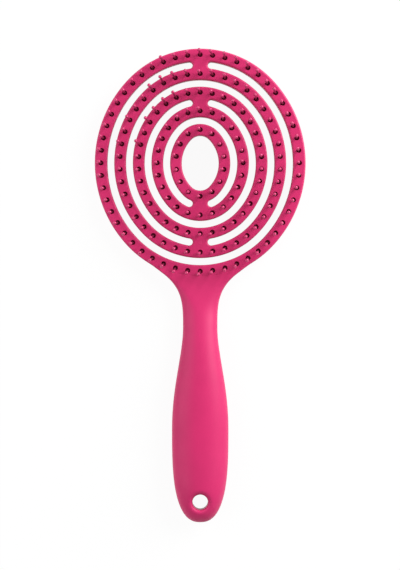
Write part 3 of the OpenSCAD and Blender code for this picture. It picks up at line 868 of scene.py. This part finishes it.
def moulded_nylon(name, finish):
    """Moulded nylon of the pins, by height: the feet deep in their holes are dull, and painted dark as
    painted shade for the shade in the holes, the shafts and balls smooth, and the balls lightest."""
    material, tree, shader, place = new_material(name)
    height = add_node(tree, "ShaderNodeSeparateXYZ", {"Vector": place}, "Z")
    ball_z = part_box("pins_1")[1].z
    # Painted shade: below the head's face the pins blend into the dark foot colour, for the shade in their
    # holes
    shaft = remap(tree, height, FACE_Z - 1.0 * MM, FACE_Z + 0.4 * MM, 0.0, 1.0)
    tip = remap(tree, height, ball_z - 2.3 * MM, ball_z - 1.3 * MM, 0.0, 1.0)
    body = mix_colours(tree, shaft, finish.foot, finish.shaft)
    body = mix_colours(tree, tip, body, finish.ball)
    cloud = mottle(tree, place, 1.5 * MM, 0.0, 0.25)
    rough = mottle(tree, place, 0.8 * MM, 0.17, 0.27)
    fill_inputs(shader, {
        "Base Color": mix_colours(tree, cloud, body, tinted(finish.shaft, 0.8)),
        "Roughness": maths(tree, "ADD", rough, remap(tree, shaft, 0.0, 1.0, 0.65, 0.0)),
        "Specular IOR Level": 0.8, "Specular Tint": (1.0, 0.5, 0.68),
        "Normal": bump(tree, noise(tree, place, 0.25 * MM), 0.006 * MM, 0.5)})
    return material


def dull_rubber(name, finish):
    """Soft rubber of the strips under the pins: dark, dull and slightly uneven."""
    material, tree, shader, place = new_material(name)
    cloud = mottle(tree, place, 1.2 * MM, 0.0, 1.0, detail=3.0)
    fill_inputs(shader, {
        "Base Color": mix_colours(tree, cloud, tinted(finish.strip, 0.8), tinted(finish.strip, 1.2)),
        "Roughness": mottle(tree, place, 0.6 * MM, 0.72, 0.86), "Specular IOR Level": 0.1,
        "Normal": bump(tree, noise(tree, place, 0.3 * MM), 0.02 * MM, 0.6)})
    return material


MATERIALS = {"soft_touch": lacquered_plastic, "pins": moulded_nylon, "pin_bed": dull_rubber}


def finish_piece(thing, slot, finish):
    """Gives a piece its slot and its material, made the first time that it is needed."""
    make = MATERIALS[slot]
    name = make.__name__
    thing.data.materials.clear()
    thing.data.materials.append(bpy.data.materials.get(name) or make(name, finish))
    return thing


def body_of_ring(n):
    """The body that ring n is part of."""
    return "root" if n == 1 else f"ring_{n}"


# Operators


class BRUSH_OT_rings(bpy.types.Operator):
    """Make the five rings, each from its upper and its lower moulding"""
    bl_idname = "brush.rings"
    bl_label = "Rings"

    def execute(self, context):
        plan = HeadPlan(context.scene.brush_head)
        for n in RINGS:
            for make, node in ((ring_front, f"front_ring_{n}"), (ring_back, f"back_ring_{n}")):
                piece = finish_piece(make(plan, n), "soft_touch", context.scene.brush_finish)
                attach(piece, body_of_ring(n))
                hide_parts(node)
        return {"FINISHED"}


class BRUSH_OT_webs(bpy.types.Operator):
    """Make the webs between the rings, and the gate mark on one of them"""
    bl_idname = "brush.webs"
    bl_label = "Webs"

    def execute(self, context):
        plan = HeadPlan(context.scene.brush_head)
        for n in RINGS[1:]:
            reach = plan.sizes.slot_width / 2
            start, end = ((0.0, web_y(plan, n, out), PARTING_Z) for out in (reach, -reach))
            webs = [(web_half(plan, n, FACE_Z, f"web_{n}_face"), f"front_web_{n}"),
                    (web_half(plan, n, 0.0, f"web_{n}_back"), f"back_web_{n}")]
            if n == GATE_RING:
                webs.append((gate_mark(plan, n), None))
            for piece, node in webs:
                finish_piece(piece, "soft_touch", context.scene.brush_finish)
                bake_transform(piece)
                if node:
                    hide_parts(node)
        return {"FINISHED"}


class BRUSH_OT_handle(bpy.types.Operator):
    """Make the neck and grip, from their upper and lower mouldings"""
    bl_idname = "brush.handle"
    bl_label = "Handle"

    def execute(self, context):
        scene = context.scene
        plan = HandlePlan(scene.brush_handle, HeadPlan(scene.brush_head))
        for upper, nodes in ((True, ("front_neck", "front_grip")), (False, ("back_neck", "back_grip"))):
            piece = finish_piece(handle_half(plan, upper), "soft_touch", scene.brush_finish)
            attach(piece, "root")
            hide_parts(*nodes)
        return {"FINISHED"}


class BRUSH_OT_pins(bpy.types.Operator):
    """Finish the pins and the soft strips that they stand on"""
    bl_idname = "brush.pins"
    bl_label = "Pins"

    def execute(self, context):
        for slot in ("pins", "pin_bed"):
            for n in RINGS:
                finish_piece(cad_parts[f"{slot}_{n}"], slot, context.scene.brush_finish)
        return {"FINISHED"}


# Gap under the brush, and the floor's sides
FLOOR_GAP = 0.02 * MM
FLOOR_SIDES = 96

# Place and width of each lamp, in metres
LAMPS = {"key": ((0.85, 0.58, 0.52), 0.9), "fill": ((-0.80, 0.15, 0.55), 1.0)}

# The camera's place across the brush, sensor in millimetres and range of sight in metres
CAMERA_SIDE = -0.1 * MM
SENSOR_WIDTH = 36.0
CLIP_START = 0.01
CLIP_END = 20.0


def floor_mesh(plan, stage, level):
    """A wide floor with a well under the head, in which the inner rings can flex: ovals parallel to
    the rings, from far out to under the rim, down the well's wall and in to the hole, with a lid."""
    rim = plan.ring_mid(1)
    distance = np.array([stage.floor_reach, rim, rim, 0.0])[:, None]
    height = level - stage.well_depth * np.array([0.0, 0.0, 1.0, 1.0])[:, None]
    shares = np.arange(FLOOR_SIDES) / FLOOR_SIDES
    points = raised(plan.places(1, shares, distance), height)
    quads = grid_quads(*points.shape[:2], wrap_columns=True)
    lid = list(range(3 * FLOOR_SIDES, 4 * FLOOR_SIDES))
    mesh = bpy.data.meshes.new("floor")
    mesh.from_pydata(points.reshape(-1, 3).tolist(), [], [*quads.tolist(), lid])
    return mesh


def seen_or_mirrored(tree):
    """1 for rays from the camera and for mirrored or refracted ones, and 0 for all others."""
    path = tree.nodes.new("ShaderNodeLightPath").outputs
    seen = maths(tree, "MAXIMUM", path["Is Camera Ray"], path["Is Glossy Ray"])
    return maths(tree, "MAXIMUM", seen, path["Is Transmission Ray"])


def floor_material(stage):
    """A pale floor for the light that it throws back, and nearly white where it is seen."""
    material, tree, shader, place = new_material("pale_floor")
    seen = seen_or_mirrored(tree)
    pale = mix_colours(tree, noise(tree, place, 0.4), (0.80, 0.80, 0.80), (0.82, 0.82, 0.82))
    fill_inputs(shader, {
        "Base Color": mix_colours(tree, seen, pale, (1.0 - stage.floor_glow,) * 3),
        "Roughness": 0.9, "Specular IOR Level": 0.0, "Emission Color": (1.0, 1.0, 1.0),
        "Emission Strength": maths(tree, "MULTIPLY", seen, stage.floor_glow)})
    return material


def sky_world(stage):
    """White where it is seen, and a weaker white light for all else."""
    world = bpy.data.worlds.new("plain_sky")
    world.use_nodes = True
    tree = world.node_tree
    seen = maths(tree, "MULTIPLY", seen_or_mirrored(tree), 1.0 - stage.sky)
    fill_inputs(tree.nodes["Background"], {
        "Color": (1.0, 1.0, 1.0), "Strength": maths(tree, "ADD", stage.sky, seen)})
    return world


def area_lamp(name, place, target, width, power):
    """A square lamp at place, turned to target."""
    data = bpy.data.lights.new(name, "AREA")
    data.shape, data.size, data.energy = "SQUARE", width, power
    lamp = bpy.data.objects.new(name, data)
    lamp.location = place
    lamp.rotation_euler = (Vector(target) - Vector(place)).to_track_quat("-Z", "Y").to_euler()
    return lamp


def top_camera(stage):
    """A camera straight above the brush, whose view is as high as asked for at the head's face."""
    data = bpy.data.cameras.new("camera")
    data.sensor_width = SENSOR_WIDTH
    data.lens = SENSOR_WIDTH * stage.camera_distance / stage.view_height
    data.clip_start, data.clip_end = CLIP_START, CLIP_END
    camera = bpy.data.objects.new("camera", data)
    camera.location = (CAMERA_SIDE, stage.view_centre, FACE_Z + stage.camera_distance)
    return camera


class BRUSH_OT_stage(bpy.types.Operator):
    """Make the floor, the lamps, the sky and the camera"""
    bl_idname = "brush.stage"
    bl_label = "Stage"

    def execute(self, context):
        scene = context.scene
        stage = scene.brush_stage
        low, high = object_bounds()
        target = ((low.x + high.x) / 2, (low.y + high.y) / 2, 0.0)

        mesh = floor_mesh(HeadPlan(scene.brush_head), stage, low.z - FLOOR_GAP)
        mesh.materials.append(floor_material(stage))
        floor = bpy.data.objects.new("floor", mesh)
        scene.collection.objects.link(floor)
        floor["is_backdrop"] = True

        for name, (place, width) in LAMPS.items():
            scene.collection.objects.link(
                area_lamp(f"{name}_lamp", place, target, width, getattr(stage, name)))
        scene.world = sky_world(stage)
        scene.camera = top_camera(stage)
        scene.collection.objects.link(scene.camera)
        scene.view_settings.view_transform = "Standard"
        return {"FINISHED"}


class BRUSH_PT_panel(bpy.types.Panel):
    """Panel with the brush's sizes and its operators"""
    bl_label = "Detangling Brush"
    bl_idname = "BRUSH_PT_panel"
    bl_space_type = "VIEW_3D"
    bl_region_type = "UI"
    bl_category = "Brush"

    def draw(self, context):
        for name, label in (("brush_head", "Head"), ("brush_handle", "Handle"),
                            ("brush_finish", "Finish"), ("brush_stage", "Stage")):
            settings = getattr(context.scene, name)
            box = self.layout.box()
            box.label(text=label)
            for key in settings.__annotations__:
                box.prop(settings, key)
        for operator in OPERATORS:
            self.layout.operator(operator.bl_idname)


SETTINGS = {"brush_head": BrushHeadSizes, "brush_handle": BrushHandleSizes,
            "brush_finish": BrushFinish, "brush_stage": BrushStage}
OPERATORS = (BRUSH_OT_rings, BRUSH_OT_webs, BRUSH_OT_handle, BRUSH_OT_pins, BRUSH_OT_stage)


def register():
    for cls in (*SETTINGS.values(), *OPERATORS, BRUSH_PT_panel):
        bpy.utils.register_class(cls)
    for name, cls in SETTINGS.items():
        setattr(bpy.types.Scene, name, bpy.props.PointerProperty(type=cls))


def unregister():
    for name in SETTINGS:
        delattr(bpy.types.Scene, name)
    for cls in (BRUSH_PT_panel, *OPERATORS[::-1], *list(SETTINGS.values())[::-1]):
        bpy.utils.unregister_class(cls)


def main():
    """Builds the whole scene: the rings, webs, handle, pins and stage."""
    register()
    bpy.ops.brush.rings()
    bpy.ops.brush.webs()
    bpy.ops.brush.handle()
    bpy.ops.brush.pins()
    bpy.ops.brush.stage()


if __name__ == "__main__":
    main()
